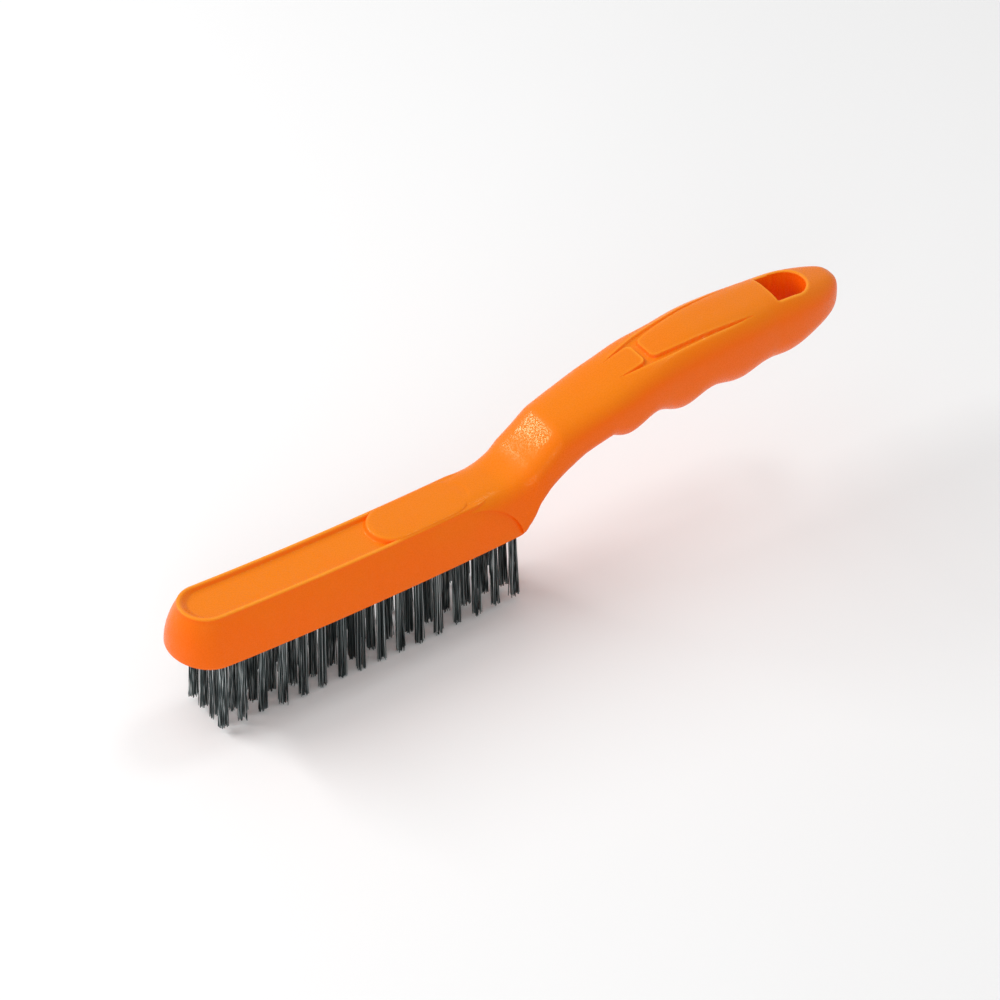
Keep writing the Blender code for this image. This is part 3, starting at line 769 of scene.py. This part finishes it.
polypropylene, tree = new_finish("moulded orange polypropylene")
where = add_node(tree, "ShaderNodeTexCoord")
flow = add_node(tree, "ShaderNodeTexNoise", {"Scale": 1 / (FLOW_MM * MM), "Detail": 2.0},
                {"Vector": where.outputs["Object"]})
facing = add_node(tree, "ShaderNodeNewGeometry")
upward = add_node(tree, "ShaderNodeSeparateXYZ", None, {"Vector": facing.outputs["Normal"]})
marks = add_node(tree, "ShaderNodeMapRange",
                 {"From Min": 0.3, "From Max": 0.7, "To Min": -0.1, "To Max": 0.1},
                 {"Value": flow.outputs["Fac"]})
# Painted top light: faces that look up are painted yellower, in place of light from above.
painted_top_light = add_node(tree, "ShaderNodeMapRange", {"From Min": 0.25, "From Max": 1.0},
                  {"Value": upward.outputs["Z"]})
flow_marks_and_top_light = add_node(tree, "ShaderNodeMath", {"operation": "ADD", "use_clamp": True},
                 {0: painted_top_light.outputs["Result"], 1: marks.outputs["Result"]})
# EA7A00 is the painted top-lit colour and F96800 the flanks' own orange; the flow marks are real
# colour.
colour = add_node(tree, "ShaderNodeMix",
                  {"data_type": "RGBA", "A": paint("F96800"), "B": paint("EA7A00")},
                  {"Factor": flow_marks_and_top_light.outputs["Value"]})
print("nodes for the colour:", len(tree.nodes))

# %% Painted glint: upper edges painted lighter, except within NECK_REACH of the neck's middle
# The shader sees places from the part's own origin, so NECK_MIDDLE is measured from there.
EDGE_MM = 1.6
NECK_MIDDLE = -8.0
NECK_REACH = 30.0
NECK_FADE = 1.2

edge = add_node(tree, "ShaderNodeAmbientOcclusion",
                {"inside": True, "only_local": True, "samples": 8, "Distance": EDGE_MM * MM})
upper = add_node(tree, "ShaderNodeMapRange", {"From Min": 0.34, "From Max": 0.6},
                 {"Value": upward.outputs["Z"]})
along = add_node(tree, "ShaderNodeSeparateXYZ", None, {"Vector": where.outputs["Object"]})
past = add_node(tree, "ShaderNodeMath", {"operation": "SUBTRACT", 1: NECK_MIDDLE * MM},
                {0: along.outputs["X"]})
away = add_node(tree, "ShaderNodeMath", {"operation": "ABSOLUTE"},
                {"Value": past.outputs["Value"]})
painted_glint_off_neck = add_node(tree, "ShaderNodeMapRange",
                   {"From Min": NECK_REACH * MM, "From Max": NECK_FADE * NECK_REACH * MM,
                    "To Min": 0.0},
                   {"Value": away.outputs["Value"], "To Max": upper.outputs["Result"]})
# Painted glint: convex upper edges, found by the inward occlusion, are painted lighter.
painted_edge_glint = add_node(tree, "ShaderNodeMapRange", {"From Min": 0.93, "From Max": 0.6, "To Min": 0.0},
                  {"Value": edge.outputs["AO"], "To Max": painted_glint_off_neck.outputs["Result"]})
# FFA42C is the colour of the painted glint along the upper edges.
colour_with_painted_glint = add_node(tree, "ShaderNodeMix", {"data_type": "RGBA", "B": paint("FFA42C")},
                {"Factor": painted_edge_glint.outputs["Result"], "A": colour.outputs["Result"]})
print("nodes with the rubbed edges:", len(tree.nodes))

# %% Grain and gloss, and the finished handle
GRAIN_MM = 0.5
PIT_DEPTH_MM = 0.03

grain = add_node(tree, "ShaderNodeTexNoise", {"Scale": 1 / (GRAIN_MM * MM), "Detail": 2.5},
                 {"Vector": where.outputs["Object"]})
matt = add_node(tree, "ShaderNodeMapRange",
                {"From Min": 0.46, "From Max": 0.53, "To Min": 0.6, "To Max": 0.18},
                {"Value": grain.outputs["Fac"]})
height = add_node(tree, "ShaderNodeMapRange", {"From Min": 0.38, "From Max": 0.53},
                  {"Value": grain.outputs["Fac"]})
pits = add_node(tree, "ShaderNodeBump", {"Strength": 0.7, "Distance": PIT_DEPTH_MM * MM},
                {"Height": height.outputs["Result"]})
skin = add_node(tree, "ShaderNodeBsdfPrincipled",
                {"IOR": 1.49, "Metallic": 0.0, "Specular Tint": paint("FFDCA4"),
                 "Specular IOR Level": 0.38},
                {"Base Color": colour_with_painted_glint.outputs["Result"], "Roughness": matt.outputs["Result"],
                 "Normal": pits.outputs["Normal"]})
add_node(tree, "ShaderNodeOutputMaterial", None, {"Surface": skin.outputs["BSDF"]})
handle.data.materials.clear()
handle.data.materials.append(polypropylene)
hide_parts("handle")
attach(handle, "root")
print("nodes of the whole finish:", len(tree.nodes))

# %% [markdown]
# ## Drawn carbon-steel wire
#
# The wires are high-carbon steel, drawn and left with a dark oxide and a film of oil. Bare
# steel all over would be far too bright, so the colour runs from the dark oxide to steel that
# use has rubbed bright. Each wire could have a material of its own, but a noise stretched
# along the wires gives each its own tone from a single one.

# %% Dark steel wire
WIRE_TONE_MM = 0.4
WIRE_RUN_MM = 150.0
OXIDE_TONES = ((0.36, "282E2F"), (0.66, "C6CECE"))
MIDDLE_TONE = (0.54, "656F70")

wire_steel, tree = new_finish("oiled carbon steel wire")
where = add_node(tree, "ShaderNodeTexCoord")
along = add_node(tree, "ShaderNodeMapping",
                 {"Scale": (1 / (WIRE_TONE_MM * MM), 1 / (WIRE_TONE_MM * MM),
                            1 / (WIRE_RUN_MM * MM))},
                 {"Vector": where.outputs["Object"]})
tone = add_node(tree, "ShaderNodeTexNoise", {"Scale": 1.0, "Detail": 1.0},
                {"Vector": along.outputs["Vector"]})
oxide = add_node(tree, "ShaderNodeValToRGB", None, {"Fac": tone.outputs["Fac"]})
for stop, (position, code) in zip(oxide.color_ramp.elements, OXIDE_TONES):
    stop.position = position
    stop.color = paint(code)
oxide.color_ramp.elements.new(MIDDLE_TONE[0]).color = paint(MIDDLE_TONE[1])
wire_skin = add_node(tree, "ShaderNodeBsdfPrincipled", {"Metallic": 1.0, "Roughness": 0.3},
                     {"Base Color": oxide.outputs["Color"]})
add_node(tree, "ShaderNodeOutputMaterial", None, {"Surface": wire_skin.outputs["BSDF"]})
print("tones of the wire:", len(oxide.color_ramp.elements))

# %% [markdown]
# ## The tufts
#
# A tuft is a hank of straight wires, folded over a flat anchor and driven into its hole. Here
# it has about two dozen, so some four dozen ends stand out. Each wire is drawn as one bent
# line with a thickness: up one leg, over the anchor and down the other. Hair particles could
# fill the block, but they wouldn't fold or leave the model as solid wires. The two legs stand
# slightly apart, the trimmed ends are a little uneven, and a few wires have strayed in use.
# A real tuft has finer wires and more of them. These are fewer and 0.38 mm thick, so that
# each one shows.

# %% Where the wires of a bundle stand
LEG_GAP = 0.12
LEG_DEPTH = 1.35
LEG_HALF = 1.38
LEG_PARTING = 0.2
TIP_SPREAD = 0.05
WIRE_DRIFT = 0.13
WIRE_CURL = 0.05
chance = random.Random(20)


def leg_place(side, share, width):
    """Where a wire of one leg stands in the bundle: towards the tips the legs part."""
    across, along = width
    out = LEG_GAP + along * LEG_DEPTH + share * LEG_PARTING
    return Vector((side * out, across * LEG_HALF * (1 + TIP_SPREAD * share), 0))


def scatter(spread):
    """A chance step along and across the brush."""
    return Vector((chance.gauss(0, spread), chance.gauss(0, spread), 0))


widest = leg_place(1, 1.0, (1, 1))
print("half a bundle at its tips in mm:", round(widest.x, 2), "by", round(widest.y, 2))

# %% One folded wire
STRAY = 6.5
TRIM = (0.02, 1.1)
RAGGED_SHARE = 0.2
RAGGED_TRIM = (0.3, 1.4)
LEG_SHARES = (1.0, 0.75, 0.5, 0.25)
BEND_SHARE = 0.05
FOLD = (0.8, 1.5, -0.3)


def wire_points(top, tip, restless):
    """The line of one folded wire: tip, leg, fold over the anchor, leg, tip."""
    while True:
        width = (chance.uniform(-1, 1), chance.uniform(0, 1))
        if width[0] ** 2 + width[1] ** 2 < 1:
            break
    legs = []
    for side in (-1, 1):
        stray = STRAY if chance.random() < restless else 1.0
        drift = scatter(WIRE_DRIFT) * stray
        curl = scatter(WIRE_CURL)
        short = chance.uniform(*TRIM)
        if chance.random() < RAGGED_SHARE:
            short += chance.uniform(*RAGGED_TRIM)
        leg = []
        for share in LEG_SHARES:
            offset = leg_place(side, share, width) + drift * share ** 2
            offset += curl * math.sin(math.pi * share)
            leg.append(top.lerp(tip, share) + offset * MM)
        leg[0].z += short * MM
        leg.append(top.lerp(tip, BEND_SHARE) + leg_place(side, 0.0, width) * MM)
        legs.append(leg)
    fold = [top + Vector((side * width[1] * FOLD[0], width[0] * FOLD[1], FOLD[2])) * MM
            for side in (-1, 1)]
    return legs[0] + fold + legs[1][::-1]


# %% Bundles of wires
WIRES = 23
WIRE_RADIUS = 0.19
CALM = 0.03
RESTLESS = 0.12


def wire_bundle(name, top, tip, restless):
    """A tuft of folded wires as one mesh."""
    hank = bpy.data.curves.new(name, "CURVE")
    hank.dimensions = "3D"
    hank.bevel_depth = WIRE_RADIUS * MM
    hank.bevel_resolution = 0
    hank.use_fill_caps = True
    for _ in range(WIRES):
        points = wire_points(top, tip, restless)
        spline = hank.splines.new("POLY")
        spline.points.add(len(points) - 1)
        spline.points.foreach_set("co", [value for point in points for value in (*point, 1.0)])
    tuft = bpy.data.objects.new(name, hank)
    bpy.context.scene.collection.objects.link(tuft)
    pick(tuft)
    bpy.ops.object.convert(target="MESH")
    bpy.ops.object.shade_smooth()
    tuft = bpy.context.object
    tuft.data.materials.append(wire_steel)
    return tuft


for number, (node, top, tip) in enumerate(tufts, 1):
    restless = RESTLESS if "clump" in node else CALM
    tuft = wire_bundle(f"wires_{number:02d}", top, tip, restless)
    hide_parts(node)
    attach(tuft, "root")
print("wires:", len(tufts) * WIRES)

# %% [markdown]
# ## Studio
#
# The brush stands on a plain white floor in an even white surround. Four lamps shape it: a
# weak soft box above the nose, a small one above the tail that draws the edges, a soft box in
# front for the near side, and a long narrow strip behind on the left. The strip lies where
# the neck's slope mirrors it, so it wakes the grain there and nowhere else. The surround is
# white where it is seen directly, in a reflection or through glass, and gives all else a
# calmer light. The camera looks down from beyond the nose on the near side, through a long
# lens that keeps nose and tail in proportion. The Standard view transform leaves the white
# white and the orange as strong as it is painted.

# %% Floor and surroundings
FLOOR_SIZE = 6.0
FLOOR_GAP = 0.1
CALM_LIGHT = 0.57
FULL_LIGHT = 1.0

start_clean()
bpy.ops.mesh.primitive_plane_add(size=FLOOR_SIZE, location=(0, 0, cad_low.z - FLOOR_GAP * MM))
floor = bpy.context.object
floor.name = "studio_floor"
floor_finish, tree = new_finish("white studio floor")
floor_skin = add_node(tree, "ShaderNodeBsdfDiffuse", {"Color": paint("F6F6F6")})
add_node(tree, "ShaderNodeOutputMaterial", None, {"Surface": floor_skin.outputs["BSDF"]})
floor.data.materials.append(floor_finish)
floor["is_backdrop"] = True

world = bpy.data.worlds.new("studio")
bpy.context.scene.world = world
world.use_nodes = True
tree = world.node_tree
tree.nodes.clear()
ray = add_node(tree, "ShaderNodeLightPath")
mirrored = add_node(tree, "ShaderNodeMath", {"operation": "MAXIMUM"},
                    {0: ray.outputs["Is Glossy Ray"], 1: ray.outputs["Is Transmission Ray"]})
seen = add_node(tree, "ShaderNodeMath", {"operation": "MAXIMUM"},
                {0: ray.outputs["Is Camera Ray"], 1: mirrored.outputs["Value"]})
calm, white = [add_node(tree, "ShaderNodeBackground",
                        {"Color": paint("FFFFFF"), "Strength": strength})
               for strength in (CALM_LIGHT, FULL_LIGHT)]
both = add_node(tree, "ShaderNodeMixShader", None,
                {"Fac": seen.outputs["Value"], 1: calm.outputs["Background"],
                 2: white.outputs["Background"]})
add_node(tree, "ShaderNodeOutputWorld", None, {"Surface": both.outputs["Shader"]})
print("floor in mm under the tips:", FLOOR_GAP)

# %% Lamps
def soft_box(name, target, direction, distance, size, power, long_side=(1, 0, 0)):
    """A rectangular area lamp that faces a target from a direction, its long side turned."""
    towards = Vector(direction).normalized()
    spot = Vector(target) + towards * distance
    start_clean()
    bpy.ops.object.light_add(type="AREA", location=spot)
    lamp = bpy.context.object
    lamp.name = name
    lamp.data.shape = "RECTANGLE"
    lamp.data.size, lamp.data.size_y = size
    lamp.data.energy = power
    across = Vector(long_side) - towards * towards.dot(Vector(long_side))
    across.normalize()
    axes = Matrix((across, towards.cross(across), towards))
    lamp.rotation_euler = axes.transposed().to_euler()
    print(name, power, "W from", [round(value, 2) for value in spot])


BLOCK_MIDDLE = (-0.05, 0, 0.05)
BLOCK_TOP = (-0.05, 0, 0.07)
NECK_SLOPE = place(11, 0, 14)

soft_box("key_box", BLOCK_MIDDLE, (-0.45, 0.2, 1.0), 0.6, (0.5, 0.5), 0.3)
soft_box("edge_lamp", BLOCK_TOP, (0.43, 0.07, 0.9), 1.2, (0.3, 0.3), 1.6)
soft_box("grain_lamp", NECK_SLOPE, (-0.584, 0.58, 0.568), 1.2, (0.95, 0.1), 7.9,
         (-0.367, -0.742, 0.369))
soft_box("front_box", BLOCK_MIDDLE, (-0.5, -0.75, 0.43), 1.2, (0.5, 0.5), 2.2)

# %% Camera
CAMERA_SPOT = (-0.65335, -0.9482, 1.0125)
CAMERA_DIP = 40.27
CAMERA_TURN = -34.35
LENS_MM = 152.2
SENSOR_MM = 36.0

camera_data = bpy.data.cameras.new("camera")
camera_data.lens = LENS_MM
camera_data.sensor_width = SENSOR_MM
camera = bpy.data.objects.new("camera", camera_data)
camera.location = CAMERA_SPOT
camera.rotation_euler = (math.radians(90 - CAMERA_DIP), 0.0, math.radians(CAMERA_TURN))
bpy.context.scene.collection.objects.link(camera)
bpy.context.scene.camera = camera
bpy.context.scene.view_settings.view_transform = "Standard"
print("camera stands", round(camera.location.length, 2), "m from the origin")

# %% [markdown]
# ## Sizes
#
# The last cell prints how far the dressed brush's box differs from the imported model's.
# The dressed brush has to fill the same box as the imported model.

# %% Finish
new_low, new_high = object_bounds()
gaps = (*(new_low - cad_low), *(new_high - cad_high))
print("box differs in mm:", [round(1000 * gap, 2) for gap in gaps])
